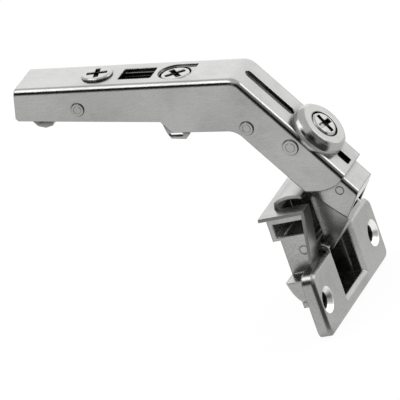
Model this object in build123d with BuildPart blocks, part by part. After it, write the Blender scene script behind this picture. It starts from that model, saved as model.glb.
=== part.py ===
"""Concealed cup hinge with a cranked arm, drawn shut.

Millimetres, +Z up. The origin is midway between the two cup screws on the
face of the door that the flange lies on. +X leaves that face, +Y follows the
hinge axis and +Z points to the edge of the door. The arm lies at a slight
slope to X, because the closing spring holds the hinge a little past shut.
"""
from build123d import *
from math import cos, radians, sin, tan
import os

# Sheet metal and general clearances
arm_sheet = 1.4
carrier_sheet = 1.2
link_sheet = 0.95
bracket_sheet = 1.0
side_gap = 0.15
stack_gap = 0.3
pin_clearance = 0.05
cutter_reach = 10.0

# Arm, measured along its own top face from above the cup screws
arm_tilt = 8.0
leg_drop = 49.2
arm_width = 17.0
arm_height = 64.2
elbow_x = -20.9
arm_rear_x = -89.5
arm_bend_radius = 1.8
elbow_radius = 5.0
rear_wall_depth = 9.6
rear_corner_height = 0.8
rear_lean = 1.0
middle_wall_depth = 12.0
deep_wall_depth = 16.0
deep_wall_start_x = -46.0
deep_wall_ramp = 3.0
deep_wall_ramp_rise = 0.5
elbow_bottom_shift = 3.4
leg_wall_depth = 12.4
leg_length = 42.4
leg_end_straight = 4.0
leg_end_setback = 5.3

# Openings in the top of the arm
window_x = -53.5
window_length = 10.3
window_width = 7.4
cam_pocket_front_x = -36.1
cam_pocket_radius = 5.1
cam_pocket_depth = 0.5
cam_hole_gap = 0.3
slot_start = 1.3
slot_end = 19.8
slot_width = 3.0
rear_slot_start = 36.9
rear_slot_end = 41.2
rear_slot_width = 3.2

# Raised boss on the leg, for the side adjusting screw
boss_along = 28.3
boss_radius = 8.4
boss_height = 4.1
boss_shoulder_height = 2.3
boss_top_radius = 7.2
boss_bevel_radius = 8.05
boss_bevel_height = 3.35
boss_dish_radius = 4.6
boss_dish_depth = 0.9

# Screws seen from above
lock_screw_x = -66.0
lock_head_radius = 4.6
lock_head_height = 0.8
lock_screw_turn = 10
screw_shank_radius = 2.4
lock_screw_reach = 6.4
cam_screw_x = -41.9
cam_head_radius = 4.5
cam_head_height = 1.2
cam_disc_radius = 5.0
cam_screw_reach = 4.6
cam_screw_turn = 38
adjust_head_radius = 4.25
adjust_head_height = 1.2
adjust_screw_reach = 8.1
adjust_screw_turn = -10
recess_span = 6.0
recess_width = 1.3
recess_depth = 1.3
screw_hole_clearance = 0.1
head_seat_gap = 0.05
lock_nut_side = 8.0
lock_nut_height = 1.8

# Rivets through the side walls
lever_rivet_x = -70.7
lever_rivet_depth = 6.8
lever_rivet_radius = 1.9
elbow_rivet_along = 12.2
elbow_rivet_height = -9.2
elbow_rivet_radius = 2.0
carrier_rivet_along = 25.2
carrier_rivet_height = -4.4
carrier_rivet_radius = 2.3
rivet_tail_inset = 0.5
rivet_tail_length = 0.6
rivet_head_rise = 0.4

# Inner channel that carries the links
carrier_start = 9.0
carrier_top_start = 21.5
carrier_end = 48.5
carrier_end_slant = 3.0
carrier_depth = 13.2
carrier_front_depth = 10.6
carrier_bottom_step = 23.0
carrier_step_length = 1.5
carrier_nose_length = 7.8
carrier_nose_rise = 0.6
carrier_web_gap = 8.8
carrier_tab_seam = 0.15
carrier_tab_depth = 6.0
carrier_bend_radius = 1.6

# Clip body and release lever at the rear of the arm
clip_rear_x = -86.1
clip_front_x = -38.4
clip_web = 1.2
clip_rear_depth = 8.8
clip_nub_length = 2.4
clip_nub_depth = 11.4
clip_hook_depth = 18.4
clip_hook_length = 6.9
clip_hook_slot = 1.0
clip_hook_slot_length = 4.4
lever_rear_x = -90.9
lever_finger_depth = 7.0
lever_finger_height = 2.0
lever_hook_x = -82.9
lever_hook_length = 4.6
lever_hook_depth = 13.3
lever_hook_round = 0.6
lever_hook_rise = 3.0
lever_hook_lead = 0.9
lever_eye_radius = 2.9
lever_sheet = 1.1
lever_spring_sheet = 0.5
lever_spring_width = 5.0

# Links and their pins: arm ends along the leg, cup ends from the origin
link_pin_radius = 1.2
outer_arm_pin_along = 39.2
outer_arm_pin_height = -6.3
inner_arm_pin_along = 44.2
inner_arm_pin_height = -5.3
outer_cup_pin_x = 1.9
outer_cup_pin_z = 10.3
inner_cup_pin_x = -3.9
inner_cup_pin_z = 11.5
inner_link_sheet = 1.1
inner_link_width = 7.4
open_pivot_gap = 0.32
outer_arm_eye_radius = 2.3
outer_cup_eye_radius = 2.1
inner_eye_radius = 2.1
link_web_tilt = 45.8
link_web_length = 10.8
link_back_inset = 0.4
link_shoulder_drop = 5.1
link_sweep_radius = 11.05
link_front_angle = 80.0
link_inner_angle = 85.5
link_front_setback = 0.36
link_waist_drop = 6.5

# Cup: flange, round pot, narrow tub and its deep pocket
flange_thickness = 4.0
flange_half_length = 28.0
flange_half_height = 10.0
flange_corner_radius = 3.0
screw_spacing = 45.0
screw_hole_radius = 2.15
countersink_radius = 4.05
notch_half_width = 9.0
notch_floor_z = -5.6
notch_corner_radius = 1.2
notch_bevel = 1.1
flange_edge_bevel = 0.9
pot_radius = 17.5
pot_offset_z = 9.5
pot_depth = 10.0
pot_rim_bevel = 0.8
pot_cut_z = 4.7
tub_wall = 0.9
tub_inset = 0.1
tub_top_z = 24.0
pocket_floor_z = 15.6
pocket_extra_depth = 2.4
tub_window_rear_x = -10.8
tub_window_front_x = -1.5
tub_window_bottom_z = 16.7
tub_window_top_z = 20.8
pin_lug_radius = 2.1
pin_lug_thickness = 1.5

# Bracket over the edge of the door
bracket_top_z = 25.1
bracket_half_width = 14.6
bracket_foot_half_width = 18.1
bracket_rear_x = -12.5
bracket_foot_x = 1.0
bracket_front_x = 2.2
bracket_gap_half_width = 9.2
bracket_bend_radius = 0.5
hood_rear_x = -9.0
hood_front_x = 0.3
hood_peak_x = -4.0
hood_rise = 3.3
hood_front_drop = 0.7
hood_shoulder_drop = 1.3
hood_shoulder_length = 0.5

# Closing spring in the tub
spring_sheet = 0.7
spring_width = 6.0
spring_bend_radius = 1.6

# Planes of the two straight stretches of the arm
arm_along = (cos(radians(arm_tilt)), 0, -sin(radians(arm_tilt)))
arm_normal = (sin(radians(arm_tilt)), 0, cos(radians(arm_tilt)))
leg_tilt = arm_tilt + leg_drop
leg_along = (cos(radians(leg_tilt)), 0, -sin(radians(leg_tilt)))
leg_normal = (sin(radians(leg_tilt)), 0, cos(radians(leg_tilt)))
sideways = (0, -1, 0)

arm_side = Plane(origin=(flange_thickness, 0, 0), x_dir=arm_along, z_dir=sideways)
elbow_point = arm_side.from_local_coords((elbow_x, arm_height, 0))
leg_side = Plane(origin=elbow_point, x_dir=leg_along, z_dir=sideways)
arm_top = Plane(
    origin=arm_side.from_local_coords((0, arm_height, 0)), x_dir=arm_along, z_dir=arm_normal
)
leg_top = Plane(origin=elbow_point, x_dir=leg_along, z_dir=leg_normal)
cup_side = Plane(origin=(0, 0, 0), x_dir=(1, 0, 0), z_dir=sideways)

arm_half = arm_width / 2
carrier_half = arm_half - arm_sheet - side_gap
link_half = carrier_half - carrier_sheet - side_gap
carrier_top = -(arm_sheet + stack_gap)
lever_rivet_z = arm_height - lever_rivet_depth


def leg_point(along, height):
    """A point of the leg, given in the arm's side plane."""
    drop = radians(leg_drop)
    x = elbow_x + along * cos(drop) + height * sin(drop)
    z = arm_height - along * sin(drop) + height * cos(drop)
    return (x, z)


def side_point(along, height):
    """A point of the leg as X and Z of the whole hinge."""
    place = leg_side.from_local_coords((along, height, 0))
    return (place.X, place.Z)


def pin_along_y(plane, x, z, radius, half_length, label):
    """A plain round pin or rivet across the hinge."""
    with BuildPart() as pin:
        with BuildSketch(plane):
            with Locations((x, z)):
                Circle(radius)
        extrude(amount=half_length, both=True)
    pin.part.label = label
    return pin.part


def cross_recess(top, turned):
    """The cross-shaped drive recess of a screw head."""
    with BuildPart() as recess:
        with BuildSketch(top.offset(-recess_depth)):
            for turn in (turned, turned + 90):
                Rectangle(recess_span, recess_width, rotation=turn)
        extrude(amount=2 * recess_depth, taper=-6)
    return recess.part


def flat_screw(plane, x, seat, head_radius, head_height, shank, reach, turned, label):
    """A screw with a low domed head, a cross recess and a plain shank."""
    face = plane.offset(seat)
    with BuildPart() as screw:
        with BuildSketch(face):
            with Locations((x, 0)):
                Circle(head_radius)
        extrude(amount=head_height)
        rim = screw.edges().filter_by(GeomType.CIRCLE).group_by(Axis((0, 0, 0), plane.z_dir))[-1]
        chamfer(rim, head_height / 2)
        with BuildSketch(face):
            with Locations((x, 0)):
                Circle(shank)
        extrude(amount=-reach)
        centre = face.offset(head_height).from_local_coords((x, 0, 0))
        top = Plane(origin=centre, x_dir=plane.x_dir, z_dir=plane.z_dir)
        add(cross_recess(top, turned), mode=Mode.SUBTRACT)
    screw.part.label = label
    return screw.part


def along_arm_top(edge):
    """True for the edges where the top of the arm meets its two walls."""
    middle = edge.center()
    below_top = min(
        abs(arm_top.to_local_coords(middle).Z), abs(leg_top.to_local_coords(middle).Z)
    )
    return abs(abs(middle.Y) - arm_half) < 0.01 and below_top < 0.6


# Outer arm: one sheet folded into a channel, cranked at the elbow
rear_bottom = arm_height - rear_wall_depth
middle_bottom = arm_height - middle_wall_depth
deep_bottom = arm_height - deep_wall_depth
leg_end_arc = (
    leg_point(leg_length, -leg_end_straight),
    leg_point(leg_length - leg_end_setback * 0.42, -leg_wall_depth * 0.72),
    leg_point(leg_length - leg_end_setback, -leg_wall_depth),
)
elbow_bottom_x = elbow_x - elbow_bottom_shift
fold_slope = tan(radians(leg_drop / 2))
inside_depth = 2 * deep_wall_depth
with BuildPart() as arm_channel:
    with BuildSketch(arm_side) as arm_outline:
        with BuildLine():
            Polyline(
                leg_end_arc[0],
                leg_point(leg_length, 0),
                (elbow_x, arm_height),
                (arm_rear_x, arm_height),
                (arm_rear_x - rear_lean, rear_bottom + rear_corner_height),
                (arm_rear_x - rear_lean + rear_corner_height, rear_bottom),
                (deep_wall_start_x, middle_bottom),
                (deep_wall_start_x + deep_wall_ramp, deep_bottom + deep_wall_ramp_rise),
                (elbow_bottom_x, deep_bottom),
                leg_point(12.4, -leg_wall_depth),
                leg_end_arc[2],
            )
            ThreePointArc(*leg_end_arc)
        make_face()
        corners = arm_outline.vertices()
        fillet(corners.filter_by_position(Axis.X, elbow_x - 0.01, elbow_x + 0.01), elbow_radius)
        bottom = arm_outline.vertices()
        fillet(
            bottom.filter_by_position(Axis.X, elbow_bottom_x - 0.01, elbow_bottom_x + 0.01),
            elbow_radius,
        )
    extrude(amount=arm_half, both=True)
    fillet(arm_channel.edges().filter_by(along_arm_top), arm_bend_radius)
    with BuildSketch(arm_side):
        with BuildLine():
            Polyline(
                leg_point(leg_length + cutter_reach, -arm_sheet),
                (elbow_x - arm_sheet * fold_slope, arm_height - arm_sheet),
                (arm_rear_x - cutter_reach, arm_height - arm_sheet),
                (arm_rear_x - cutter_reach, arm_height - inside_depth),
                (elbow_x - inside_depth * fold_slope, arm_height - inside_depth),
                leg_point(leg_length + cutter_reach, -inside_depth),
                close=True,
            )
        make_face()
    extrude(amount=arm_half - arm_sheet, both=True, mode=Mode.SUBTRACT)
    with BuildSketch(leg_side):
        with BuildLine():
            Polyline(
                (boss_along, -arm_sheet / 2),
                (boss_along + boss_radius, -arm_sheet / 2),
                (boss_along + boss_radius, boss_shoulder_height),
                (boss_along + boss_bevel_radius, boss_bevel_height),
                (boss_along + boss_top_radius, boss_height),
                (boss_along, boss_height),
                close=True,
            )
        make_face()
    revolve(axis=Axis(leg_side.from_local_coords((boss_along, 0, 0)), leg_normal))
    with BuildSketch(leg_top.offset(boss_height - arm_sheet)):
        with Locations((boss_along, 0)):
            Circle(boss_radius - arm_sheet)
    extrude(amount=-boss_height - arm_sheet, mode=Mode.SUBTRACT)
    with BuildSketch(arm_top.offset(1)):
        with Locations((window_x, 0)):
            RectangleRounded(window_length, window_width, 0.6)
        with Locations((cam_screw_x, 0)):
            Circle(cam_head_radius + cam_hole_gap)
        with Locations((lock_screw_x, 0)):
            Circle(screw_shank_radius + screw_hole_clearance)
    extrude(amount=-arm_sheet - 2, mode=Mode.SUBTRACT)
    with BuildSketch(arm_top):
        with Locations((cam_screw_x, 0)):
            Circle(cam_pocket_radius)
            Rectangle(
                cam_pocket_front_x - cam_screw_x, 2 * cam_pocket_radius, align=(Align.MIN, Align.CENTER)
            )
    extrude(amount=-cam_pocket_depth, mode=Mode.SUBTRACT)
    with BuildSketch(leg_top.offset(1)):
        with Locations(((slot_start + slot_end) / 2, 0)):
            SlotOverall(slot_end - slot_start, slot_width)
        with Locations(((rear_slot_start + rear_slot_end) / 2, 0)):
            RectangleRounded(rear_slot_end - rear_slot_start, rear_slot_width, 0.5)
    extrude(amount=-arm_sheet - 2, mode=Mode.SUBTRACT)
    with BuildSketch(leg_top.offset(boss_height)):
        with Locations((boss_along, 0)):
            Circle(boss_dish_radius)
    extrude(amount=-boss_dish_depth, mode=Mode.SUBTRACT)
    with BuildSketch(leg_top.offset(boss_height)):
        with Locations((boss_along, 0)):
            Circle(screw_shank_radius + screw_hole_clearance)
    extrude(amount=-arm_sheet - 1, mode=Mode.SUBTRACT)
    with BuildSketch(arm_side):
        with Locations((lever_rivet_x, lever_rivet_z)):
            Circle(lever_rivet_radius)
        with Locations(leg_point(elbow_rivet_along, elbow_rivet_height)):
            Circle(elbow_rivet_radius)
        with Locations(leg_point(carrier_rivet_along, carrier_rivet_height)):
            Circle(carrier_rivet_radius)
    extrude(amount=arm_width, both=True, mode=Mode.SUBTRACT)
arm_channel.part.label = "arm_channel"


# Inner channel: folded shut at the front, riveted inside the leg, carries the links
with BuildPart() as carrier_channel:
    with BuildSketch(leg_side):
        with BuildLine():
            Polyline(
                (carrier_start, -leg_wall_depth + stack_gap),
                (carrier_start, carrier_top),
                (carrier_end, carrier_top),
                (carrier_end + carrier_end_slant, -carrier_front_depth),
                (carrier_end - carrier_nose_length, -carrier_depth + carrier_nose_rise),
                (carrier_bottom_step + carrier_step_length, -carrier_depth),
                (carrier_bottom_step, -leg_wall_depth + stack_gap),
                close=True,
            )
        make_face()
    extrude(amount=carrier_half, both=True)
    fillet(
        carrier_channel.edges().filter_by(
            lambda e: abs(abs(e.center().Y) - carrier_half) < 0.01
            and abs(leg_top.to_local_coords(e.center()).Z - carrier_top) < 0.01
        ),
        carrier_bend_radius,
    )
    with BuildSketch(leg_side):
        with BuildLine():
            Polyline(
                (carrier_start - cutter_reach, carrier_top - carrier_sheet),
                (carrier_end - carrier_sheet, carrier_top - carrier_sheet),
                (carrier_end + carrier_end_slant - carrier_sheet, -carrier_front_depth),
                (carrier_end + carrier_end_slant - carrier_sheet, -carrier_depth - cutter_reach),
                (carrier_start - cutter_reach, -carrier_depth - cutter_reach),
                close=True,
            )
        make_face()
    extrude(amount=carrier_half - carrier_sheet, both=True, mode=Mode.SUBTRACT)
    with BuildSketch(leg_side):
        with Locations((carrier_end, -carrier_tab_depth)):
            Rectangle(3 * carrier_end_slant, carrier_depth, align=(Align.CENTER, Align.MAX))
    extrude(amount=carrier_half - carrier_sheet, both=True, mode=Mode.SUBTRACT)
    seam = carrier_half - carrier_sheet - carrier_tab_seam / 2
    for side in (-seam, seam):
        with BuildSketch(leg_side.offset(side)):
            with BuildLine():
                Polyline(
                    (carrier_end - carrier_sheet - 0.2, carrier_top - carrier_bend_radius),
                    (carrier_end + carrier_end_slant + 2, carrier_top - carrier_bend_radius),
                    (carrier_end + carrier_end_slant + 2, -carrier_front_depth - 1),
                    (carrier_end + carrier_end_slant - carrier_sheet - 0.2, -carrier_front_depth - 1),
                    close=True,
                )
            make_face()
        extrude(amount=carrier_tab_seam / 2, both=True, mode=Mode.SUBTRACT)
    with BuildSketch(leg_side):
        with Locations((carrier_top_start, carrier_top)):
            Rectangle(carrier_end, carrier_web_gap, align=(Align.MAX, Align.CENTER))
    extrude(amount=carrier_half, both=True, mode=Mode.SUBTRACT)
    with BuildSketch(leg_side):
        for along, height, radius in (
            (elbow_rivet_along, elbow_rivet_height, elbow_rivet_radius),
            (carrier_rivet_along, carrier_rivet_height, carrier_rivet_radius),
            (outer_arm_pin_along, outer_arm_pin_height, link_pin_radius),
            (inner_arm_pin_along, inner_arm_pin_height, link_pin_radius),
        ):
            with Locations((along, height)):
                Circle(radius)
    extrude(amount=arm_width, both=True, mode=Mode.SUBTRACT)
    with BuildSketch(leg_top):
        with Locations((boss_along, 0)):
            Circle(screw_shank_radius + pin_clearance)
        with Locations(((rear_slot_start + rear_slot_end) / 2, 0)):
            RectangleRounded(rear_slot_end - rear_slot_start + 2, rear_slot_width + 2, 0.5)
    extrude(amount=-carrier_depth / 2, mode=Mode.SUBTRACT)
carrier_channel.part.label = "carrier_channel"

# Clip body: the inner channel that snaps onto the mounting plate
clip_top = arm_height - arm_sheet - stack_gap
clip_rear_bottom = arm_height - clip_rear_depth
hook_bottom = arm_height - clip_hook_depth
hook_rear_x = clip_front_x - clip_hook_length
nub_bottom = arm_height - clip_nub_depth
with BuildPart() as clip_body:
    with BuildSketch(arm_side):
        with BuildLine():
            Polyline(
                (clip_rear_x, clip_top),
                (clip_front_x, clip_top),
                (clip_front_x, hook_bottom + 1.4),
                (clip_front_x - 1.3, hook_bottom),
                (hook_rear_x + 1.1, hook_bottom + 0.3),
                (hook_rear_x, hook_bottom + 2.2),
                (hook_rear_x - 1.4, middle_bottom + 0.8),
                (clip_rear_x + clip_nub_length + 2, clip_rear_bottom),
                (clip_rear_x + clip_nub_length, nub_bottom + 0.8),
                (clip_rear_x + clip_nub_length - 0.8, nub_bottom),
                (clip_rear_x + 0.6, nub_bottom + 0.3),
                (clip_rear_x, nub_bottom + 1.6),
                close=True,
            )
        make_face()
    extrude(amount=carrier_half, both=True)
    with BuildSketch(arm_side):
        with Locations(((clip_rear_x + clip_front_x) / 2, clip_top - clip_web)):
            Rectangle(clip_front_x - clip_rear_x + 10, 40, align=(Align.CENTER, Align.MAX))
    extrude(amount=carrier_half - carrier_sheet, both=True, mode=Mode.SUBTRACT)
    with BuildSketch(arm_top):
        with Locations((window_x, 0)):
            RectangleRounded(window_length + 1.6, window_width + 1.6, 0.6)
        with Locations((cam_screw_x, 0)):
            Circle(cam_disc_radius + side_gap)
        with Locations((lock_screw_x, 0)):
            Circle(screw_shank_radius + pin_clearance)
    extrude(amount=-clip_rear_depth, mode=Mode.SUBTRACT)
    with BuildSketch(arm_side):
        with Locations((hook_rear_x + clip_hook_length * 0.4, hook_bottom + 1.6)):
            SlotOverall(clip_hook_slot_length, clip_hook_slot)
        with Locations((lever_rivet_x, lever_rivet_z)):
            Circle(lever_rivet_radius)
    extrude(amount=arm_width, both=True, mode=Mode.SUBTRACT)
clip_body.part.label = "clip_body"


def stud_pair(x, z, radius, label):
    """Two short rivets, one through each side wall, peened on the inside."""
    inner = carrier_half - carrier_sheet
    with BuildPart() as studs:
        with BuildSketch(arm_side.offset(inner)):
            with Locations((x, z)):
                Circle(radius)
        extrude(amount=arm_half - inner + rivet_head_rise)
        with BuildSketch(arm_side.offset(inner)):
            with Locations((x, z)):
                Circle(radius - rivet_tail_inset)
        extrude(amount=-rivet_tail_length)
        mirror(about=Plane.XZ)
    studs.part.label = label
    return studs.part


elbow_rivet_place = leg_point(elbow_rivet_along, elbow_rivet_height)
carrier_rivet_place = leg_point(carrier_rivet_along, carrier_rivet_height)
elbow_rivets = stud_pair(*elbow_rivet_place, elbow_rivet_radius, "elbow_rivets")
carrier_rivets = stud_pair(*carrier_rivet_place, carrier_rivet_radius, "carrier_rivets")
lever_rivet_half = arm_half + rivet_head_rise
lever_rivet = pin_along_y(
    arm_side, lever_rivet_x, lever_rivet_z, lever_rivet_radius, lever_rivet_half, "lever_rivet"
)

# Release lever: a sheet channel that turns on its rivet and hooks the plate
lever_half = carrier_half - carrier_sheet - side_gap
lever_hook_bottom = arm_height - lever_hook_depth
finger_bottom = arm_height - lever_finger_depth - lever_finger_height
hook_front = lever_hook_x + lever_hook_length / 2
hook_rear = lever_hook_x - lever_hook_length / 2
with BuildPart() as release_lever:
    with BuildSketch(arm_side) as lever_outline:
        with BuildLine():
            Polyline(
                (lever_rivet_x, lever_rivet_z + lever_eye_radius),
                (lever_rear_x + 5, arm_height - lever_finger_depth + 1.2),
                (lever_rear_x, arm_height - lever_finger_depth),
                (lever_rear_x + 0.3, finger_bottom),
                (hook_rear - 1.6, finger_bottom - 1.8),
                (hook_rear, lever_hook_bottom + lever_hook_round),
                (lever_hook_x, lever_hook_bottom),
                (hook_front, lever_hook_bottom + lever_hook_round),
                (hook_front + lever_hook_lead, lever_hook_bottom + lever_hook_rise),
                (lever_rivet_x, lever_rivet_z - lever_eye_radius),
                close=True,
            )
        make_face()
        with Locations((lever_rivet_x, lever_rivet_z)):
            Circle(lever_eye_radius)
    extrude(amount=lever_half, both=True)
    with BuildSketch(arm_side):
        with BuildLine():
            Polyline(
                (lever_rivet_x + 8, arm_height),
                (lever_rear_x + lever_sheet * 1.8, arm_height),
                (lever_rear_x + lever_sheet * 1.8, finger_bottom + lever_sheet),
                (hook_rear - 0.9, finger_bottom - 1.8 + lever_sheet),
                (hook_rear + 0.6, lever_hook_bottom + 0.6 + lever_sheet),
                (lever_hook_x, lever_hook_bottom + lever_sheet),
                (hook_front - 0.3, lever_hook_bottom + 0.6 + lever_sheet),
                (lever_rivet_x + 8, lever_hook_bottom + 0.6 + lever_sheet),
                close=True,
            )
        make_face()
    extrude(amount=lever_half - lever_sheet, both=True, mode=Mode.SUBTRACT)
    with BuildSketch(arm_side):
        with Locations((lever_rivet_x, lever_rivet_z)):
            Circle(lever_rivet_radius + pin_clearance)
    extrude(amount=lever_half, both=True, mode=Mode.SUBTRACT)
release_lever.part.label = "release_lever"

# Leaf spring that holds the release lever down, fixed under the clip body
clip_underside = clip_top - clip_web
with BuildPart() as lever_spring:
    with BuildSketch(arm_side):
        with BuildLine() as leaf:
            FilletPolyline(
                (lever_rivet_x - 2.6, clip_underside - lever_spring_sheet / 2),
                (lever_rivet_x - 6.5, clip_underside - lever_spring_sheet / 2),
                (lever_hook_x - 0.5, lever_hook_bottom + lever_sheet + 2.6),
                (lever_hook_x - 2.5, lever_hook_bottom + lever_sheet + 3.4),
                radius=0.8,
            )
        trace(line_width=lever_spring_sheet)
    extrude(amount=lever_spring_width / 2, both=True)
lever_spring.part.label = "lever_spring"

# Square nut of the locking screw, held under the clip body
with BuildPart() as lock_nut:
    with BuildSketch(arm_top.offset(clip_underside - arm_height)):
        with Locations((lock_screw_x, 0)):
            RectangleRounded(lock_nut_side, lock_nut_side, 0.8)
            Circle(screw_shank_radius + pin_clearance, mode=Mode.SUBTRACT)
    extrude(amount=-lock_nut_height)
lock_nut.part.label = "lock_nut"

# The three adjusting screws
locking_screw = flat_screw(
    arm_top, lock_screw_x, head_seat_gap, lock_head_radius, lock_head_height,
    screw_shank_radius, lock_screw_reach, lock_screw_turn, "locking_screw",
)
adjust_seat = boss_height - boss_dish_depth + head_seat_gap
side_adjust_screw = flat_screw(
    leg_top, boss_along, adjust_seat, adjust_head_radius, adjust_head_height,
    screw_shank_radius, adjust_screw_reach, adjust_screw_turn, "side_adjust_screw",
)
cam_seat = clip_top - arm_height
with BuildPart() as cam_screw:
    with BuildSketch(arm_top.offset(cam_seat)):
        with Locations((cam_screw_x, 0)):
            Circle(cam_disc_radius)
    extrude(amount=-clip_web)
    with BuildSketch(arm_top.offset(cam_seat)):
        with Locations((cam_screw_x, 0)):
            Circle(cam_head_radius)
    extrude(amount=cam_head_height)
    cam_rims = cam_screw.edges().filter_by(GeomType.CIRCLE)
    chamfer(cam_rims.group_by(Axis((0, 0, 0), arm_normal))[-1], cam_head_height / 3)
    with BuildSketch(arm_top.offset(cam_seat)):
        with Locations((cam_screw_x, 0)):
            Circle(screw_shank_radius)
    extrude(amount=-cam_screw_reach)
    cam_face = Plane(
        origin=arm_top.offset(cam_seat + cam_head_height).from_local_coords((cam_screw_x, 0, 0)),
        x_dir=arm_along,
        z_dir=arm_normal,
    )
    add(cross_recess(cam_face, cam_screw_turn), mode=Mode.SUBTRACT)
cam_screw.part.label = "cam_screw"

# Pins of the four pivots
outer_arm_pin = pin_along_y(
    leg_side, outer_arm_pin_along, outer_arm_pin_height, link_pin_radius, carrier_half, "outer_arm_pin"
)
inner_arm_pin = pin_along_y(
    leg_side, inner_arm_pin_along, inner_arm_pin_height, link_pin_radius, carrier_half, "inner_arm_pin"
)
lug_outer = notch_half_width + pin_lug_thickness + 0.1
tub_outer = notch_half_width - tub_inset + tub_wall
outer_cup_pin = pin_along_y(
    cup_side, outer_cup_pin_x, outer_cup_pin_z, link_pin_radius, lug_outer, "outer_cup_pin"
)
inner_cup_pin = pin_along_y(
    cup_side, inner_cup_pin_x, inner_cup_pin_z, link_pin_radius, tub_outer, "inner_cup_pin"
)

# Outer link: a folded channel with a rolled eye at the cup
outer_arm_x, outer_arm_z = side_point(outer_arm_pin_along, outer_arm_pin_height)
inner_arm_x, inner_arm_z = side_point(inner_arm_pin_along, inner_arm_pin_height)
hole_radius = link_pin_radius + pin_clearance
web_tilt = radians(link_web_tilt)
link_web = Plane(
    origin=(outer_cup_pin_x, 0, outer_cup_pin_z),
    x_dir=(cos(web_tilt), 0, sin(web_tilt)),
    z_dir=sideways,
)
web_inside = link_sheet - outer_cup_eye_radius
link_toe = link_web.from_local_coords((0, -outer_cup_eye_radius, 0))
link_nose = link_web.from_local_coords((link_web_length, -outer_cup_eye_radius, 0))


def sweep_point(angle):
    """A point of the cheek just outside the sweep of the inner channel's end."""
    turn = radians(angle)
    x = outer_arm_x + link_sweep_radius * cos(turn)
    return (x, outer_arm_z - link_sweep_radius * sin(turn))


with BuildPart() as outer_link:
    with BuildSketch(cup_side):
        with BuildLine():
            Polyline(
                (outer_arm_x - outer_arm_eye_radius, outer_arm_z),
                (outer_cup_pin_x - link_back_inset, outer_arm_z - link_shoulder_drop),
                (outer_cup_pin_x - link_back_inset, outer_cup_pin_z),
                (link_toe.X, link_toe.Z),
                (link_nose.X, link_nose.Z),
                sweep_point(link_front_angle),
                sweep_point(link_inner_angle),
                (outer_arm_x - link_front_setback, outer_arm_z - link_waist_drop),
                (outer_arm_x - link_front_setback, outer_arm_z - outer_arm_eye_radius),
                (outer_arm_x, outer_arm_z),
                close=True,
            )
        make_face()
        with Locations((outer_arm_x, outer_arm_z)):
            Circle(outer_arm_eye_radius)
    extrude(amount=link_half, both=True)
    with BuildSketch(link_web):
        with Locations((-link_web_length, web_inside)):
            Rectangle(3 * link_web_length, 3 * link_web_length, align=(Align.MIN, Align.MIN))
    extrude(amount=link_half - link_sheet, both=True, mode=Mode.SUBTRACT)
    with BuildSketch(cup_side):
        with Locations((outer_cup_pin_x, outer_cup_pin_z)):
            Circle(outer_cup_eye_radius)
    extrude(amount=link_half, both=True)
    with BuildSketch(cup_side):
        with Locations((outer_arm_x, outer_arm_z), (outer_cup_pin_x, outer_cup_pin_z)):
            Circle(hole_radius)
    extrude(amount=arm_half, both=True, mode=Mode.SUBTRACT)
outer_link.part.label = "outer_link"

# Inner link: a strap with an eye rolled at each end
with BuildPart() as inner_link:
    with BuildSketch(cup_side):
        with BuildLine():
            Line((inner_arm_x, inner_arm_z), (inner_cup_pin_x, inner_cup_pin_z))
        trace(line_width=inner_link_sheet)
        with Locations((inner_arm_x, inner_arm_z), (inner_cup_pin_x, inner_cup_pin_z)):
            Circle(inner_eye_radius)
        with Locations((inner_arm_x, inner_arm_z)):
            Circle(hole_radius, mode=Mode.SUBTRACT)
        with Locations((inner_cup_pin_x, inner_cup_pin_z)):
            Circle(link_pin_radius + open_pivot_gap, mode=Mode.SUBTRACT)
    extrude(amount=inner_link_width / 2, both=True)
inner_link.part.label = "inner_link"

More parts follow.
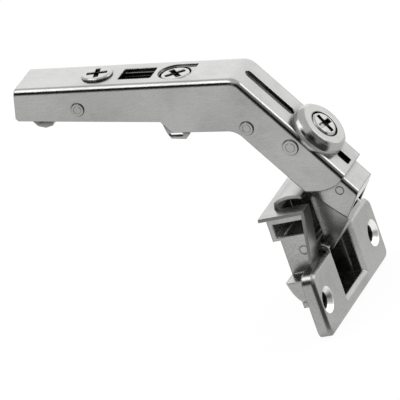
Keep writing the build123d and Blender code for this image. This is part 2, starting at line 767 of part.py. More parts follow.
# Cup: one casting with flange, round pot, narrow tub and pin lugs
tub_inner = notch_half_width - tub_inset
with BuildPart() as cup:
    with BuildSketch(Plane.YZ):
        RectangleRounded(2 * flange_half_length, 2 * flange_half_height, flange_corner_radius)
    extrude(amount=flange_thickness)
    front_rim = cup.faces().sort_by(Axis.X)[-1].outer_wire().edges()
    chamfer(front_rim, flange_edge_bevel)
    with BuildSketch(Plane.YZ):
        with Locations((0, pot_offset_z)):
            Circle(pot_radius)
        with Locations((0, pot_cut_z)):
            Rectangle(
                3 * pot_radius, 3 * pot_radius, align=(Align.CENTER, Align.MIN), mode=Mode.SUBTRACT
            )
    extrude(amount=-pot_depth)
    pot_rim = cup.faces().sort_by(Axis.X)[0].outer_wire().edges().filter_by(GeomType.CIRCLE)
    chamfer(pot_rim, pot_rim_bevel)
    with BuildSketch(Plane.YZ):
        with Locations((0, tub_top_z)):
            Rectangle(
                2 * tub_outer, tub_top_z - notch_floor_z + tub_wall, align=(Align.CENTER, Align.MAX)
            )
    extrude(amount=-pot_depth)
    with BuildSketch(Plane.YZ.offset(-pot_depth)):
        with Locations((0, tub_top_z)):
            Rectangle(2 * tub_outer, tub_top_z - pocket_floor_z, align=(Align.CENTER, Align.MAX))
    extrude(amount=-pocket_extra_depth)
    with BuildSketch(cup_side):
        with Locations((outer_cup_pin_x, outer_cup_pin_z)):
            Circle(pin_lug_radius)
            Rectangle(2 * pin_lug_radius, 3, align=(Align.CENTER, Align.MAX))
    extrude(amount=lug_outer, both=True)
    with BuildSketch(Plane.YZ.offset(-pot_depth + tub_wall)):
        with Locations((0, notch_floor_z)):
            Rectangle(2 * tub_inner, 3 * tub_top_z, align=(Align.CENTER, Align.MIN))
    extrude(amount=pot_depth - tub_wall, mode=Mode.SUBTRACT)
    with BuildSketch(Plane.YZ):
        with Locations((0, notch_floor_z)):
            Rectangle(2 * notch_half_width, 3 * tub_top_z, align=(Align.CENTER, Align.MIN))
    extrude(amount=3 * flange_thickness, mode=Mode.SUBTRACT)
    with BuildSketch(Plane.YZ.offset(-pot_depth - pocket_extra_depth + tub_wall)):
        with Locations((0, pocket_floor_z + tub_wall)):
            Rectangle(2 * tub_inner, 3 * tub_top_z, align=(Align.CENTER, Align.MIN))
    extrude(amount=pocket_extra_depth, mode=Mode.SUBTRACT)
    with BuildSketch(Plane.YZ.offset(flange_thickness)):
        with Locations((0, notch_floor_z - notch_bevel)):
            Rectangle(
                2 * (notch_half_width + notch_bevel), 3 * tub_top_z, align=(Align.CENTER, Align.MIN)
            )
    extrude(amount=-notch_bevel, taper=45, mode=Mode.SUBTRACT)
    with BuildSketch(cup_side):
        with Locations((tub_window_rear_x, tub_window_bottom_z)):
            Rectangle(
                tub_window_front_x - tub_window_rear_x,
                tub_window_top_z - tub_window_bottom_z,
                align=(Align.MIN, Align.MIN),
            )
    extrude(amount=lug_outer, mode=Mode.SUBTRACT)
    with BuildSketch(cup_side):
        with Locations((outer_cup_pin_x, outer_cup_pin_z), (inner_cup_pin_x, inner_cup_pin_z)):
            Circle(link_pin_radius)
    extrude(amount=lug_outer + 1, both=True, mode=Mode.SUBTRACT)
    with Locations(Plane.YZ.offset(flange_thickness)):
        with Locations((-screw_spacing / 2, 0), (screw_spacing / 2, 0)):
            CounterSinkHole(screw_hole_radius, countersink_radius, counter_sink_angle=90)
cup.part.label = "cup"

# Bracket bent over the edge of the door, with a hood over the mouth of the tub
hood_top = bracket_top_z + hood_rise
hood_shoulder_x = hood_rear_x + hood_shoulder_length
with BuildPart() as edge_bracket:
    with BuildSketch(cup_side):
        with BuildLine():
            bracket_line = Polyline(
                (bracket_foot_x, flange_half_height),
                (bracket_front_x, bracket_top_z),
                (bracket_rear_x, bracket_top_z),
                (bracket_rear_x, bracket_top_z - bracket_sheet),
                (bracket_front_x - bracket_sheet * 1.08, bracket_top_z - bracket_sheet),
                (bracket_foot_x - bracket_sheet, flange_half_height),
                close=True,
            )
        make_face()
    extrude(amount=bracket_foot_half_width, both=True)
    top_front = edge_bracket.edges().filter_by(Axis.Y).filter_by(
        lambda e: abs(e.center().X - bracket_front_x) < 0.01
    )
    fillet(top_front, bracket_bend_radius)
    with BuildSketch(Plane.YZ.offset(bracket_rear_x - 1)):
        with BuildLine():
            Polyline(
                (-bracket_foot_half_width, flange_half_height),
                (-bracket_half_width, bracket_top_z),
                (bracket_half_width, bracket_top_z),
                (bracket_foot_half_width, flange_half_height),
                close=True,
            )
        make_face()
    extrude(amount=bracket_front_x - bracket_rear_x + 4, mode=Mode.INTERSECT)
    with BuildSketch(Plane.XY.offset(bracket_top_z + 1)):
        with Locations((hood_rear_x, 0)):
            Rectangle(40, 2 * bracket_gap_half_width, align=(Align.MIN, Align.CENTER))
    extrude(amount=-6, mode=Mode.SUBTRACT)
    with BuildSketch(Plane.YZ):
        with BuildLine():
            Polyline(
                (-lug_outer - stack_gap, flange_half_height - 1),
                (-lug_outer - stack_gap, outer_cup_pin_z + pin_lug_radius + stack_gap),
                (-bracket_gap_half_width, bracket_top_z - 2),
                (-bracket_gap_half_width, bracket_top_z + 1),
                (bracket_gap_half_width, bracket_top_z + 1),
                (bracket_gap_half_width, bracket_top_z - 2),
                (lug_outer + stack_gap, outer_cup_pin_z + pin_lug_radius + stack_gap),
                (lug_outer + stack_gap, flange_half_height - 1),
                close=True,
            )
        make_face()
    extrude(amount=3 * flange_thickness, mode=Mode.SUBTRACT)
    with BuildSketch(cup_side):
        with BuildLine():
            Polyline(
                (hood_front_x, hood_top - hood_front_drop),
                (hood_front_x, hood_top - hood_front_drop - bracket_sheet),
            )
            ThreePointArc(
                (hood_front_x, hood_top - hood_front_drop - bracket_sheet),
                (hood_peak_x, hood_top - bracket_sheet),
                (hood_shoulder_x + bracket_sheet, hood_top - hood_shoulder_drop - bracket_sheet / 2),
            )
            Polyline(
                (hood_shoulder_x + bracket_sheet, hood_top - hood_shoulder_drop - bracket_sheet / 2),
                (hood_rear_x + bracket_sheet, bracket_top_z - bracket_sheet),
                (hood_rear_x - bracket_sheet, bracket_top_z - bracket_sheet),
                (hood_rear_x - bracket_sheet, bracket_top_z),
                (hood_rear_x, bracket_top_z),
                (hood_shoulder_x, hood_top - hood_shoulder_drop),
            )
            ThreePointArc(
                (hood_shoulder_x, hood_top - hood_shoulder_drop),
                (hood_peak_x, hood_top),
                (hood_front_x, hood_top - hood_front_drop),
            )
        make_face()
    extrude(amount=bracket_gap_half_width - stack_gap, both=True)
edge_bracket.part.label = "edge_bracket"

# Closing spring: a leaf standing on the floor of the tub
spring_seat_x = -pot_depth + tub_wall + spring_sheet / 2
with BuildPart() as closing_spring:
    with BuildSketch(cup_side):
        with BuildLine():
            FilletPolyline(
                (spring_seat_x, inner_cup_pin_z - 4),
                (spring_seat_x, notch_floor_z + 1.0),
                (inner_cup_pin_x, notch_floor_z + 1.6),
                (inner_cup_pin_x - 0.6, inner_cup_pin_z - inner_eye_radius - 0.4),
                radius=spring_bend_radius,
            )
        trace(line_width=spring_sheet)
    extrude(amount=spring_width / 2, both=True)
closing_spring.part.label = "closing_spring"

os.makedirs("parts", exist_ok=True)
for piece in (
    arm_channel.part,
    carrier_channel.part,
    clip_body.part,
    release_lever.part,
    lever_spring.part,
    lever_rivet,
    elbow_rivets,
    carrier_rivets,
    lock_nut.part,
    locking_screw,
    cam_screw.part,
    side_adjust_screw,
    outer_arm_pin,
    inner_arm_pin,
    outer_link.part,
    inner_link.part,
    outer_cup_pin,
    inner_cup_pin,
    cup.part,
    edge_bracket.part,
    closing_spring.part,
):
    export_step(piece, "parts/" + piece.label + ".step")
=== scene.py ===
"""Concealed cup hinge: satin nickel finishes, small metalwork, camera and studio.

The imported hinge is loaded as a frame. Each operator finishes one group of its
pieces, adds the small metalwork that the solids leave out, or sets up the studio.
"""

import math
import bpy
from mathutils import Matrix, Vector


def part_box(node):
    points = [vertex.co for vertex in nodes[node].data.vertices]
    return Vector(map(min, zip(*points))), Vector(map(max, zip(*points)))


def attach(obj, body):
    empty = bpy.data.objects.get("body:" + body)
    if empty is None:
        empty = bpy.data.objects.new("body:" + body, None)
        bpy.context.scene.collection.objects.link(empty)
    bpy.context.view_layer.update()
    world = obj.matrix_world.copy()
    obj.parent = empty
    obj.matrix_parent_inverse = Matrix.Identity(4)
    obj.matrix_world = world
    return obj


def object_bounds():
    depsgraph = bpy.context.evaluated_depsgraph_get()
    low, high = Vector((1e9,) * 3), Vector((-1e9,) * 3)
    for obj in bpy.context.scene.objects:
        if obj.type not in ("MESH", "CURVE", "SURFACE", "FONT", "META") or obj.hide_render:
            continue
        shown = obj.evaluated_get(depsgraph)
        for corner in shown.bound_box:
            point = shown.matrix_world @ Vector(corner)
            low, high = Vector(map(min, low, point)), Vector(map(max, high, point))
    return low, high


bl_info = {
    "name": "Concealed Cup Hinge",
    "version": (1, 0, 0),
    "blender": (4, 5, 0),
    "location": "View3D > Sidebar > Hinge",
    "description": "Finishes a concealed cup hinge and sets up its studio",
    "category": "Object",
}

import bmesh
import bpy
from bpy.props import FloatProperty, FloatVectorProperty, PointerProperty
from bpy.types import Operator, Panel, PropertyGroup
from mathutils import Matrix, Vector

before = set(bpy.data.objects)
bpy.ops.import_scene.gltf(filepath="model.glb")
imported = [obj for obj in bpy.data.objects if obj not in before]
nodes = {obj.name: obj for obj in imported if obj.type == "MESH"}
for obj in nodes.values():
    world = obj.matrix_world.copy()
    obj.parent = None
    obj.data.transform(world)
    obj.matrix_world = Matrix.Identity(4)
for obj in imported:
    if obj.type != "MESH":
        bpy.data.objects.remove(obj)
cad_box = [list(corner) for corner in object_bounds()]

# Slopes of the two straight stretches of the arm, and its elbow, in metres
ARM_TILT = math.radians(8.0)
LEG_TILT = math.radians(57.2)
LEG_NORMAL = Vector((math.sin(LEG_TILT), 0, math.cos(LEG_TILT)))
ELBOW = Vector((-0.00776, 0, 0.06648))

# Direction of the grain on the links
LINK_TILT = math.radians(45)

# The boss on the leg: height of its rim over the leg, and how the wall spreads below it
BOSS_RIM = 0.0034
BOSS_SLOPE = 0.4
BOSS_FOOT_DEPTH = 0.0021
BOSS_FOOT_CURVE = 1500.0

# The two fixing holes of the flange: place, radii of cone and bore, their soft rim,
# and the colours of the painted highlight on the cone and the painted shade in the bore
HOLE_ACROSS = 0.0225
HOLE_CONE = 0.0041
HOLE_BORE = 0.0027
HOLE_RIM = 0.0002
CONE_HIGHLIGHT_COLOUR = (0.85, 0.85, 0.84, 1.0)
BORE_SHADE_COLOUR = (0.02, 0.02, 0.02, 1.0)

# Noises on the metal, in cells per metre, and how much longer than wide a grain line is
CLOUD_SCALE = 38.0
STAIN_SCALE = 160.0
SPECK_SCALE = 2400.0
GRIT_SCALE = 1500.0
GRAIN_LENGTH = 20.0

# Height of the finest relief, brightness of a stain, and the roughness the noises add
RELIEF_HEIGHT = 0.00002
STAIN_SHADE = 0.72
MEAN_BLUR = 0.06

# How far off a wall still casts painted shade on an inner surface, and rays for that and for
# the edges
SHADE_REACH = 0.012
SHADING_SAMPLES = 8

# Sides of a rivet's ring, and of the wire that it is swept from
RING_SIDES = 40
WIRE_SIDES = 8

# The floor: its place, how white it shows, and where reflections see it dark
FLOOR_MIDDLE_X = -0.04
FLOOR_DROP = 0.0004
FLOOR_SIDES = 96
FLOOR_WHITENESS = 0.95
FLOOR_DARK_Y = (-0.03, -0.012)
FLOOR_DARK_X = (0.035, 0.06)
FLOOR_DARK_COLOUR = (0.02, 0.02, 0.02, 1.0)

# The dim part of the surroundings: its soft edges in front, below and above
DIM_SHARE = 0.68
DIM_FRONT = (-0.25, 0.1)
DIM_FOOT = (-0.14, -0.04)
DIM_TOP = (0.62, 0.78)

# The two directions in which the surroundings are darkest, and their soft rim as cosines
DARKEST_DIRECTIONS = ((0.407, -0.851, 0.330), (-0.40, -0.78, 0.47))
DARKEST_RIM = (0.86, 0.95)

# The softboxes: where each hangs, its width and its height, and the point they light
SOFTBOXES = {
    "back_softbox": ((0.0, 1.0, 0.45), 2.2, 0.6),
    "top_softbox": ((-0.3, -0.25, 0.95), 0.8, 0.5),
    "side_softbox": ((0.8, 0.4, 0.46), 0.4, 0.4),
}
LIT_POINT = (-0.03, 0, 0.04)

# The camera's view in degrees, and where the middle of the flange's face shows, in pixels
CAMERA_AZIMUTH = 25.565
CAMERA_ELEVATION = 19.285
CAMERA_ROLL = -19.544
FLANGE_MIDDLE = Vector((0.004, 0, 0))
FLANGE_PIXEL_X = 350.91
FLANGE_PIXEL_Y = 265.88
PHOTO_WIDTH = 400
SENSOR_WIDTH = 36

# Places of the colour sockets on a Mix node
MIX_FACTOR = 0
MIX_FIRST = 6
MIX_SECOND = 7
MIX_RESULT = 2


class HingeFinish(PropertyGroup):
    """Colours and surface of the metals."""

    sheet_colour: FloatVectorProperty(
        name="Sheet colour", description="Colour of the plated sheet parts",
        subtype="COLOR", size=3, min=0, max=1, default=(0.41, 0.41, 0.4),
    )
    casting_colour: FloatVectorProperty(
        name="Casting colour", description="Colour of the plated cup casting",
        subtype="COLOR", size=3, min=0, max=1, default=(0.4, 0.4, 0.39),
    )
    screw_colour: FloatVectorProperty(
        name="Screw colour", description="Colour of the adjusting screws",
        subtype="COLOR", size=3, min=0, max=1, default=(0.46, 0.46, 0.45),
    )
    pin_colour: FloatVectorProperty(
        name="Pin colour", description="Colour of the rivets and pins",
        subtype="COLOR", size=3, min=0, max=1, default=(0.4, 0.4, 0.39),
    )
    spring_colour: FloatVectorProperty(
        name="Spring colour", description="Colour of the spring steel",
        subtype="COLOR", size=3, min=0, max=1, default=(0.16, 0.16, 0.16),
    )
    sheet_roughness: FloatProperty(
        name="Sheet roughness", description="How blurred the plated sheet reflects",
        min=0.05, max=1, default=0.14, subtype="FACTOR",
    )
    screw_roughness: FloatProperty(
        name="Screw roughness", description="How blurred the screws reflect",
        min=0.05, max=1, default=0.22, subtype="FACTOR",
    )
    pin_roughness: FloatProperty(
        name="Pin roughness", description="How blurred the rivets and pins reflect",
        min=0.05, max=1, default=0.2, subtype="FACTOR",
    )
    spring_roughness: FloatProperty(
        name="Spring roughness", description="How blurred the springs reflect",
        min=0.05, max=1, default=0.35, subtype="FACTOR",
    )
    grain_size: FloatProperty(
        name="Grain size", description="Width of the rolling grain in the sheet",
        min=0.00005, max=0.002, default=0.00025, subtype="DISTANCE", unit="LENGTH",
    )
    spring_grain: FloatProperty(
        name="Spring grain", description="Width of the grain in the springs",
        min=0.00005, max=0.002, default=0.0002, subtype="DISTANCE", unit="LENGTH",
    )
    edge_rounding: FloatProperty(
        name="Edge rounding", description="Radius of the softened sheet edges",
        min=0.00002, max=0.001, default=0.0006, subtype="DISTANCE", unit="LENGTH",
    )
    cast_rounding: FloatProperty(
        name="Cast rounding", description="Radius of the softened edges of the cup",
        min=0.00002, max=0.002, default=0.0009, subtype="DISTANCE", unit="LENGTH",
    )


class HingeDetail(PropertyGroup):
    """Sizes of the rings stamped on the rivets, as shares of the rivet's radius."""

    ring_radius: FloatProperty(
        name="Ring radius", description="Radius of the ring on the face of a rivet",
        min=0.2, max=0.9, default=0.6, subtype="FACTOR",
    )
    ring_height: FloatProperty(
        name="Ring height", description="How far the ring stands out of the face",
        min=0.01, max=0.1, default=0.05, subtype="FACTOR",
    )


class HingeStudio(PropertyGroup):
    """Floor, lamps and camera."""

    floor_colour: FloatVectorProperty(
        name="Floor colour", description="Colour of the pale floor",
        subtype="COLOR", size=3, min=0, max=1, default=(0.9, 0.9, 0.9),
    )
    floor_radius: FloatProperty(
        name="Floor radius", description="Radius of the round floor",
        min=0.1, max=5, default=1.6, subtype="DISTANCE", unit="LENGTH",
    )
    dark_side: FloatProperty(
        name="Dark side", description="How dark the room behind the camera is in reflections",
        min=0, max=1, default=0.99, subtype="FACTOR",
    )
    back_softbox: FloatProperty(
        name="Back softbox", description="Brightness of the softbox above and behind",
        min=0, max=20, default=0.6,
    )
    top_softbox: FloatProperty(
        name="Top softbox", description="Brightness of the softbox overhead",
        min=0, max=20, default=1.8,
    )
    side_softbox: FloatProperty(
        name="Side softbox", description="Brightness of the softbox beside the cup",
        min=0, max=20, default=2.5,
    )
    camera_lens: FloatProperty(
        name="Camera lens", description="Focal length on a 36 mm sensor, in millimetres",
        min=50, max=2000, default=795.5,
    )
    camera_distance: FloatProperty(
        name="Camera distance", description="Distance from the cup flange to the camera",
        min=0.3, max=10, default=2.567, subtype="DISTANCE", unit="LENGTH",
    )


class Signal:
    """A shader socket that can be used in a sum or a product."""

    def __init__(self, graph, socket):
        self.graph = graph
        self.socket = socket

    def math(self, operation, *values, clamp=False):
        settings = {"operation": operation, "use_clamp": clamp}
        sockets = dict(enumerate(values))
        return self.graph.add("ShaderNodeMath", settings, sockets).out()

    def __add__(self, other):
        return self.math("ADD", self, other)

    def __mul__(self, other):
        return self.math("MULTIPLY", self, other)

    def __sub__(self, other):
        return self.math("SUBTRACT", self, other)

    def __rsub__(self, other):
        return self.math("SUBTRACT", other, self)

    def __pow__(self, other):
        return self.math("POWER", self, other)

    def __abs__(self):
        return self.math("ABSOLUTE", self)

    def at_least(self, other):
        return self.math("MAXIMUM", self, other)

    def bounded(self):
        """Kept between 0 and 1."""
        return self.math("ADD", self, 0.0, clamp=True)

    def step(self, low, high):
        """Rises from 0 to 1 between two values."""
        settings = {"interpolation_type": "SMOOTHSTEP", "clamp": True}
        sockets = {"Value": self, "From Min": low, "From Max": high}
        return self.graph.add("ShaderNodeMapRange", settings, sockets).out()


class Added:
    """A node that the graph has added."""

    def __init__(self, graph, node):
        self.graph = graph
        self.node = node

    def out(self, name=0):
        return Signal(self.graph, self.node.outputs[name])


class Graph:
    """Builds one node tree."""

    def __init__(self, tree):
        self.tree = tree
        self.tree.nodes.clear()

    def add(self, kind, settings=None, sockets=None):
        node = self.tree.nodes.new(kind)
        for name, value in (settings or {}).items():
            setattr(node, name, value)
        for name, value in (sockets or {}).items():
            if isinstance(value, Signal):
                self.tree.links.new(value.socket, node.inputs[name])
            else:
                node.inputs[name].default_value = value
        return Added(self, node)

    def mix_colour(self, factor, first, second):
        return self.add(
            "ShaderNodeMix",
            {"data_type": "RGBA", "blend_type": "MIX"},
            {MIX_FACTOR: factor, MIX_FIRST: first, MIX_SECOND: second},
        ).out(MIX_RESULT)

    def mix_shader(self, factor, first, second):
        return self.add("ShaderNodeMixShader", None, {0: factor, 1: first, 2: second}).out()

    def stretched(self, turn, scale):
        """Object coordinates turned about Y and stretched."""
        where = self.add("ShaderNodeTexCoord").out("Object")
        return self.add(
            "ShaderNodeMapping", {"vector_type": "POINT"},
            {"Vector": where, "Rotation": (0, turn, 0), "Scale": scale},
        ).out()

    def place(self):
        """The three Object coordinates, as X, Y and Z."""
        where = self.add("ShaderNodeTexCoord").out("Object")
        return self.add("ShaderNodeSeparateXYZ", None, {"Vector": where})

    def screw_hole(self, radius):
        """1 inside the two fixing holes of the flange."""
        place = self.place()
        side = abs(place.out("Y")) - HOLE_ACROSS
        away = (side ** 2.0 + place.out("Z") ** 2.0) ** 0.5
        return 1.0 - away.step(radius - HOLE_RIM, radius)

    def boss_flare(self, rim):
        """How far the wall of the boss spreads, in metres, below its rim."""
        place = self.place()
        along = (place.out("X") - ELBOW.x) * LEG_NORMAL.x
        over = (along + (place.out("Z") - ELBOW.z) * LEG_NORMAL.z).at_least(0.0)
        down = (rim - over).at_least(0.0)
        foot = (down - BOSS_FOOT_DEPTH).at_least(0.0)
        return down * BOSS_SLOPE + foot ** 2.0 * BOSS_FOOT_CURVE

    def noise(self, where, scale, detail, rough):
        sockets = {"Vector": where, "Scale": scale, "Detail": detail, "Roughness": rough}
        return self.add("ShaderNodeTexNoise", None, sockets).out("Fac")

    def finish(self, shader, kind="ShaderNodeOutputMaterial"):
        self.add(kind, None, {"Surface": shader})


class Surface:
    """Tone, height and blur of a plated metal, built up one noise at a time."""

    def __init__(self, graph):
        self.graph = graph
        self.even = graph.stretched(0.0, (1, 1, 1))
        cloud = graph.noise(self.even, CLOUD_SCALE, 2.0, 0.5)
        stain = graph.noise(self.even, STAIN_SCALE, 3.0, 0.65)
        speck = graph.noise(self.even, SPECK_SCALE, 2.0, 0.7)
        stains = cloud.step(0.35, 0.7) * 0.4 + stain.step(0.4, 0.75) * 0.3
        self.tone = stains + speck.step(0.3, 0.75) * 0.3
        self.height = speck * 0.5
        self.blur = self.tone * 0.08

    def add_grain(self, size, turn):
        """Adds the lines left by rolling, which run along X turned about Y."""
        length = GRAIN_LENGTH * size
        along = self.graph.stretched(turn, (1 / length, 1 / size, 1 / size))
        lines = self.graph.noise(along, 1.0, 3.0, 0.65)
        self.tone = self.tone + (lines.step(0.3, 0.75) - 0.5) * 0.4
        self.height = self.height + lines * 0.6
        self.blur = self.blur + lines * 0.08

    def add_pits(self, share):
        """Adds the pits of a casting."""
        grit = self.graph.noise(self.even, GRIT_SCALE, 4.0, 0.75)
        self.tone = self.tone + (grit.step(0.38, 0.62) - 0.3) * share
        self.height = self.height + grit * (2.0 * share)
        self.blur = self.blur + grit * (0.3 * share)


def shade(colour, factor=1.0):
    return (colour[0] * factor, colour[1] * factor, colour[2] * factor, 1.0)


def metal_material(
    name, colour, roughness, rounding, grain=None, turn=0.0, pits=0.0, hollow_shade=0.9,
    shade_open_air=(0.25, 0.8), painted_holes=False, flare=0.0,
):
    """A plated metal with rolling grain, faint stains and softened edges.

    The hollow shade is how much darker an enclosed surface is painted, as painted shade.
    The open-air range gives the share of open air at which the painted shade is darkest,
    and the share at which none is painted. flare is the height of the boss's rim, for
    the arm alone.
    """
    material = bpy.data.materials.new(name)
    material.use_nodes = True
    graph = Graph(material.node_tree)
    surface = Surface(graph)
    if grain:
        surface.add_grain(grain, turn)
    if pits:
        surface.add_pits(pits)
    relief = surface.height * RELIEF_HEIGHT
    if flare:
        relief = relief + graph.boss_flare(flare)
    samples = {"samples": SHADING_SAMPLES}
    edge = graph.add("ShaderNodeBevel", samples, {"Radius": rounding}).out()
    bump = graph.add(
        "ShaderNodeBump", None,
        {"Strength": 1.0, "Distance": 1.0, "Height": relief, "Normal": edge},
    ).out()
    # Painted shade: ambient occlusion darkens the colour of surfaces closed in by nearby walls,
    # holes and gaps
    air = graph.add("ShaderNodeAmbientOcclusion", samples, {"Distance": SHADE_REACH}).out("AO")
    plain = graph.mix_colour(surface.tone.bounded(), shade(colour), shade(colour, STAIN_SHADE))
    base = graph.mix_colour(air.step(*shade_open_air), shade(colour, 1.0 - hollow_shade), plain)
    # Painted highlight on the cones of the flange's fixing holes, and painted shade in their
    # bores
    if painted_holes:
        base = graph.mix_colour(graph.screw_hole(HOLE_CONE), base, CONE_HIGHLIGHT_COLOUR)
        base = graph.mix_colour(graph.screw_hole(HOLE_BORE), base, BORE_SHADE_COLOUR)
    shader = graph.add(
        "ShaderNodeBsdfPrincipled", None,
        {
            "Base Color": base,
            "Metallic": 1.0,
            "Roughness": (surface.blur + (roughness - MEAN_BLUR)).bounded(),
            "Normal": bump,
        },
    ).out()
    graph.finish(shader)
    return material


def dress(names, material):
    """Gives the named solids one material."""
    for name in names:
        mesh = nodes[name].data
        mesh.materials.clear()
        mesh.materials.append(material)


class HINGE_OT_finish_sheet(Operator):
    """Plates the arm, the channels, the links and the bracket"""

    bl_idname = "hinge.finish_sheet"
    bl_label = "Finish the sheet parts"

    def execute(self, context):
        finish = context.scene.hinge_finish
        colour = finish.sheet_colour
        rough = finish.sheet_roughness
        grain = finish.grain_size
        edge = finish.edge_rounding
        arm = metal_material(
            "plated_arm", colour, rough, edge, grain, -ARM_TILT,
            hollow_shade=0.97, shade_open_air=(0.3, 0.9), flare=BOSS_RIM,
        )
        # The parts inside the arm are a copy of the arm's plating with the deepest painted
        # shade
        inside = metal_material(
            "plated_inside_shaded", colour, rough, edge, grain, -ARM_TILT,
            hollow_shade=0.99, shade_open_air=(0.6, 1.0),
        )
        leg = metal_material("plated_leg", colour, rough, edge, grain, -LEG_TILT)
        # The links and the bracket are rougher than the arm, and their edges sharper
        link = metal_material(
            "plated_link", colour, rough + 0.14, edge * 0.4, grain, LINK_TILT,
            hollow_shade=0.6, shade_open_air=(0.1, 0.5),
        )
        bracket = metal_material(
            "plated_bracket", colour, rough + 0.18, edge * 0.35, grain,
            hollow_shade=0.6, shade_open_air=(0.05, 0.4),
        )
        dress(["arm_channel"], arm)
        dress(["clip_body", "release_lever"], inside)
        dress(["carrier_channel"], leg)
        dress(["outer_link", "inner_link"], link)
        dress(["edge_bracket"], bracket)
        return {"FINISHED"}


class HINGE_OT_finish_casting(Operator):
    """Plates the cup casting, which is rougher than the sheet and pitted"""

    bl_idname = "hinge.finish_casting"
    bl_label = "Finish the cup casting"

    def execute(self, context):
        finish = context.scene.hinge_finish
        # The casting gets painted shade in its hollows, and painted highlight and shade at its
        # fixing holes
        material = metal_material(
            "plated_casting", finish.casting_colour, finish.sheet_roughness + 0.08,
            finish.cast_rounding, pits=0.45, hollow_shade=0.5, shade_open_air=(0.05, 0.5), painted_holes=True,
        )
        dress(["cup"], material)
        return {"FINISHED"}


class HINGE_OT_finish_screws(Operator):
    """Plates the screws and their nut"""

    bl_idname = "hinge.finish_screws"
    bl_label = "Finish the screws"

    def execute(self, context):
        finish = context.scene.hinge_finish
        material = metal_material(
            "bright_screw", finish.screw_colour, finish.screw_roughness, finish.edge_rounding
        )
        dress(["locking_screw", "cam_screw", "side_adjust_screw", "lock_nut"], material)
        return {"FINISHED"}


class HINGE_OT_finish_pins(Operator):
    """Finishes the rivets, the pins and the springs"""

    bl_idname = "hinge.finish_pins"
    bl_label = "Finish the pins and springs"

    def execute(self, context):
        finish = context.scene.hinge_finish
        edge = finish.edge_rounding
        pins = metal_material(
            "plated_pin", finish.pin_colour, finish.pin_roughness, edge * 0.6,
            hollow_shade=0.6, shade_open_air=(0.1, 0.5),
        )
        springs = metal_material(
            "spring_steel", finish.spring_colour, finish.spring_roughness, edge,
            finish.spring_grain,
        )
        dress(
            [
                "lever_rivet", "elbow_rivets", "carrier_rivets",
                "outer_arm_pin", "inner_arm_pin", "outer_cup_pin", "inner_cup_pin",
            ],
            pins,
        )
        dress(["closing_spring", "lever_spring"], springs)
        return {"FINISHED"}


class HINGE_OT_rivet_rings(Operator):
    """Stamps the ring that the setting tool leaves on the face of each rivet"""

    bl_idname = "hinge.rivet_rings"
    bl_label = "Stamp the rivet rings"

    def ring_tree(self, material):
        """Sets one ring on each point, as large as the rivet there."""
        tree = bpy.data.node_groups.new("rivet_ring_set", "GeometryNodeTree")
        sockets = tree.interface
        sockets.new_socket("Geometry", in_out="INPUT", socket_type="NodeSocketGeometry")
        sockets.new_socket("Ring radius", in_out="INPUT", socket_type="NodeSocketFloat")
        sockets.new_socket("Ring height", in_out="INPUT", socket_type="NodeSocketFloat")
        sockets.new_socket("Geometry", in_out="OUTPUT", socket_type="NodeSocketGeometry")
        graph = Graph(tree)
        given = graph.add("NodeGroupInput")
        circle = "GeometryNodeCurvePrimitiveCircle"
        ring = graph.add(
            circle, None, {"Resolution": RING_SIDES, "Radius": given.out("Ring radius")}
        )
        wire = graph.add(
            circle, None, {"Resolution": WIRE_SIDES, "Radius": given.out("Ring height")}
        )
        solid = graph.add(
            "GeometryNodeCurveToMesh", None,
            {"Curve": ring.out("Curve"), "Profile Curve": wire.out("Curve")},
        ).out()
        size = graph.add(
            "GeometryNodeInputNamedAttribute", {"data_type": "FLOAT"}, {"Name": "rivet_radius"}
        ).out("Attribute")
        placed = graph.add(
            "GeometryNodeInstanceOnPoints", None,
            {
                "Points": given.out("Geometry"), "Instance": solid,
                "Rotation": (math.pi / 2, 0, 0), "Scale": size,
            },
        ).out()
        real = graph.add("GeometryNodeRealizeInstances", None, {"Geometry": placed}).out()
        done = graph.add(
            "GeometryNodeSetMaterial", None, {"Geometry": real, "Material": material}
        ).out()
        graph.add("NodeGroupOutput", None, {"Geometry": done})
        return tree

    def rivet_faces(self):
        """A mesh with one point on each rivet's face, which knows the rivet's radius."""
        points = []
        radii = []
        for name in ("lever_rivet", "elbow_rivets", "carrier_rivets"):
            low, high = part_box(name)
            middle = (low + high) / 2
            for side in (low.y, high.y):
                points.append((middle.x, side, middle.z))
                radii.append((high.x - low.x) / 2)
        mesh = bpy.data.meshes.new("rivet_faces")
        mesh.from_pydata(points, [], [])
        mesh.attributes.new("rivet_radius", "FLOAT", "POINT").data.foreach_set("value", radii)
        return mesh

    def execute(self, context):
        detail = context.scene.hinge_detail
        rings = bpy.data.objects.new("rivet_rings", self.rivet_faces())
        context.scene.collection.objects.link(rings)
        tree = self.ring_tree(bpy.data.materials["plated_pin"])
        modifier = rings.modifiers.new("ring_set", "NODES")
        modifier.node_group = tree
        values = {"Ring radius": detail.ring_radius, "Ring height": detail.ring_height}
        for socket in tree.interface.items_tree:
            if socket.in_out == "INPUT" and socket.name in values:
                modifier[socket.identifier] = values[socket.name]
        context.view_layer.update()
        shaped = rings.evaluated_get(context.evaluated_depsgraph_get())
        rings.data = bpy.data.meshes.new_from_object(shaped)
        rings.modifiers.remove(rings.modifiers["ring_set"])
        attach(rings, "arm")
        return {"FINISHED"}


def softbox(name, centre, aim, width, height, radiance):
    """An area lamp whose surface has the given brightness."""
    data = bpy.data.lights.new(name, "AREA")
    data.shape = "RECTANGLE"
    data.size = width
    data.size_y = height
    data.energy = radiance * math.pi * width * height
    lamp = bpy.data.objects.new(name, data)
    bpy.context.scene.collection.objects.link(lamp)
    lamp.location = centre
    lamp.rotation_mode = "QUATERNION"
    lamp.rotation_quaternion = (Vector(aim) - Vector(centre)).to_track_quat("-Z", "Y")


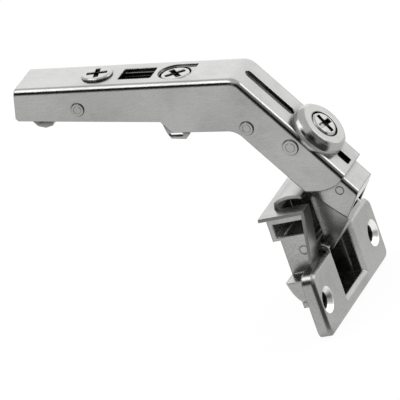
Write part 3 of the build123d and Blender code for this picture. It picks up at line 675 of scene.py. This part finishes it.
class HINGE_OT_studio(Operator):
    """Lays the pale floor and sets the softboxes, the surroundings and the camera"""

    bl_idname = "hinge.studio"
    bl_label = "Set up the studio"

    def floor(self, studio):
        mesh = bpy.data.meshes.new("floor")
        shape = bmesh.new()
        bmesh.ops.create_circle(
            shape, cap_ends=True, segments=FLOOR_SIDES, radius=studio.floor_radius
        )
        shape.to_mesh(mesh)
        shape.free()
        floor = bpy.data.objects.new("floor", mesh)
        bpy.context.scene.collection.objects.link(floor)
        floor.location = (FLOOR_MIDDLE_X, 0, cad_box[0][2] - FLOOR_DROP)
        mesh.materials.append(self.floor_material(studio))

    def floor_material(self, studio):
        """Matt to the lamps, white to the camera, and dark in front to reflections."""
        material = bpy.data.materials.new("pale_floor")
        material.use_nodes = True
        graph = Graph(material.node_tree)
        matt = graph.add(
            "ShaderNodeBsdfDiffuse", None, {"Color": shade(studio.floor_colour)}
        ).out()
        white = graph.add(
            "ShaderNodeEmission", None, {"Color": (1, 1, 1, 1), "Strength": 1.0}
        ).out()
        black = graph.add("ShaderNodeEmission", None, {"Color": FLOOR_DARK_COLOUR}).out()
        place = graph.place()
        front = 1.0 - place.out("Y").step(*FLOOR_DARK_Y)
        dark = front * place.out("X").step(*FLOOR_DARK_X) * studio.dark_side
        reflected = graph.add("ShaderNodeLightPath").out("Is Glossy Ray")
        shown = graph.mix_shader(reflected * dark, white, black)
        graph.finish(graph.mix_shader(self.seen(graph) * FLOOR_WHITENESS, matt, shown))
        return material

    def seen(self, graph):
        """1 for the rays that show the background."""
        path = graph.add("ShaderNodeLightPath")
        rays = path.out("Is Camera Ray") + path.out("Is Glossy Ray")
        return (rays + path.out("Is Transmission Ray")).bounded()

    def surroundings(self, studio):
        """White all round, but dark behind the camera for reflections."""
        world = bpy.data.worlds.new("white_surroundings")
        bpy.context.scene.world = world
        world.use_nodes = True
        graph = Graph(world.node_tree)
        where = graph.add("ShaderNodeTexCoord").out("Generated")
        parts = graph.add("ShaderNodeSeparateXYZ", None, {"Vector": where})
        front = 1.0 - parts.out("Y").step(*DIM_FRONT)
        height = parts.out("Z")
        dim = front * height.step(*DIM_FOOT) * (1.0 - height.step(*DIM_TOP))
        dark = dim * DIM_SHARE
        for direction in DARKEST_DIRECTIONS:
            near = graph.add(
                "ShaderNodeVectorMath", {"operation": "DOT_PRODUCT"}, {0: where, 1: direction}
            ).out("Value")
            dark = dark.at_least(near.step(*DARKEST_RIM))
        reflected = graph.add("ShaderNodeLightPath").out("Is Glossy Ray")
        level = 1.0 - reflected * dark * studio.dark_side
        sky = graph.add(
            "ShaderNodeBackground", None, {"Color": (1, 1, 1, 1), "Strength": level}
        ).out()
        graph.finish(sky, "ShaderNodeOutputWorld")

    def camera(self, studio):
        """Puts the camera where the photograph was taken from."""
        azimuth = math.radians(CAMERA_AZIMUTH)
        elevation = math.radians(CAMERA_ELEVATION)
        roll = math.radians(CAMERA_ROLL)
        shown_x = FLANGE_PIXEL_X - PHOTO_WIDTH / 2
        shown_y = FLANGE_PIXEL_Y - PHOTO_WIDTH / 2
        focal = studio.camera_lens / SENSOR_WIDTH * PHOTO_WIDTH
        back = Vector(
            (
                math.sin(azimuth) * math.cos(elevation),
                -math.cos(azimuth) * math.cos(elevation),
                math.sin(elevation),
            )
        )
        level = Vector((math.cos(azimuth), math.sin(azimuth), 0))
        upright = back.cross(level)
        right = level * math.cos(roll) + upright * math.sin(roll)
        up = upright * math.cos(roll) - level * math.sin(roll)
        distance = studio.camera_distance
        centre = (
            FLANGE_MIDDLE
            + back * distance
            - right * (shown_x / focal * distance)
            + up * (shown_y / focal * distance)
        )
        data = bpy.data.cameras.new("camera")
        data.lens = studio.camera_lens
        data.sensor_width = SENSOR_WIDTH
        data.sensor_fit = "HORIZONTAL"
        data.clip_start = 0.1
        data.clip_end = 50
        camera = bpy.data.objects.new("camera", data)
        bpy.context.scene.collection.objects.link(camera)
        camera.matrix_world = Matrix(
            (
                (right.x, up.x, back.x, centre.x),
                (right.y, up.y, back.y, centre.y),
                (right.z, up.z, back.z, centre.z),
                (0, 0, 0, 1),
            )
        )
        bpy.context.scene.camera = camera

    def execute(self, context):
        studio = context.scene.hinge_studio
        context.scene.view_settings.view_transform = "Standard"
        self.floor(studio)
        self.surroundings(studio)
        self.camera(studio)
        for name, (centre, width, height) in SOFTBOXES.items():
            softbox(name, centre, LIT_POINT, width, height, getattr(studio, name))
        return {"FINISHED"}


class HINGE_PT_hinge(Panel):
    """Lists the steps that finish the hinge"""

    bl_idname = "HINGE_PT_hinge"
    bl_label = "Cup Hinge"
    bl_space_type = "VIEW_3D"
    bl_region_type = "UI"
    bl_category = "Hinge"

    def draw(self, context):
        layout = self.layout
        for group in groups:
            values = getattr(context.scene, group)
            box = layout.box()
            for name in values.__annotations__:
                box.prop(values, name)
        for step in steps:
            layout.operator(step.bl_idname)


groups = {
    "hinge_finish": HingeFinish,
    "hinge_detail": HingeDetail,
    "hinge_studio": HingeStudio,
}
steps = (
    HINGE_OT_finish_sheet,
    HINGE_OT_finish_casting,
    HINGE_OT_finish_screws,
    HINGE_OT_finish_pins,
    HINGE_OT_rivet_rings,
    HINGE_OT_studio,
)


def register():
    for kind in (*groups.values(), *steps, HINGE_PT_hinge):
        bpy.utils.register_class(kind)
    for name, kind in groups.items():
        setattr(bpy.types.Scene, name, PointerProperty(type=kind))


def unregister():
    for name in groups:
        delattr(bpy.types.Scene, name)
    for kind in reversed((*groups.values(), *steps, HINGE_PT_hinge)):
        bpy.utils.unregister_class(kind)


def main():
    register()
    bpy.ops.hinge.finish_sheet()
    bpy.ops.hinge.finish_casting()
    bpy.ops.hinge.finish_screws()
    bpy.ops.hinge.finish_pins()
    bpy.ops.hinge.rivet_rings()
    bpy.ops.hinge.studio()


if __name__ == "__main__":
    main()
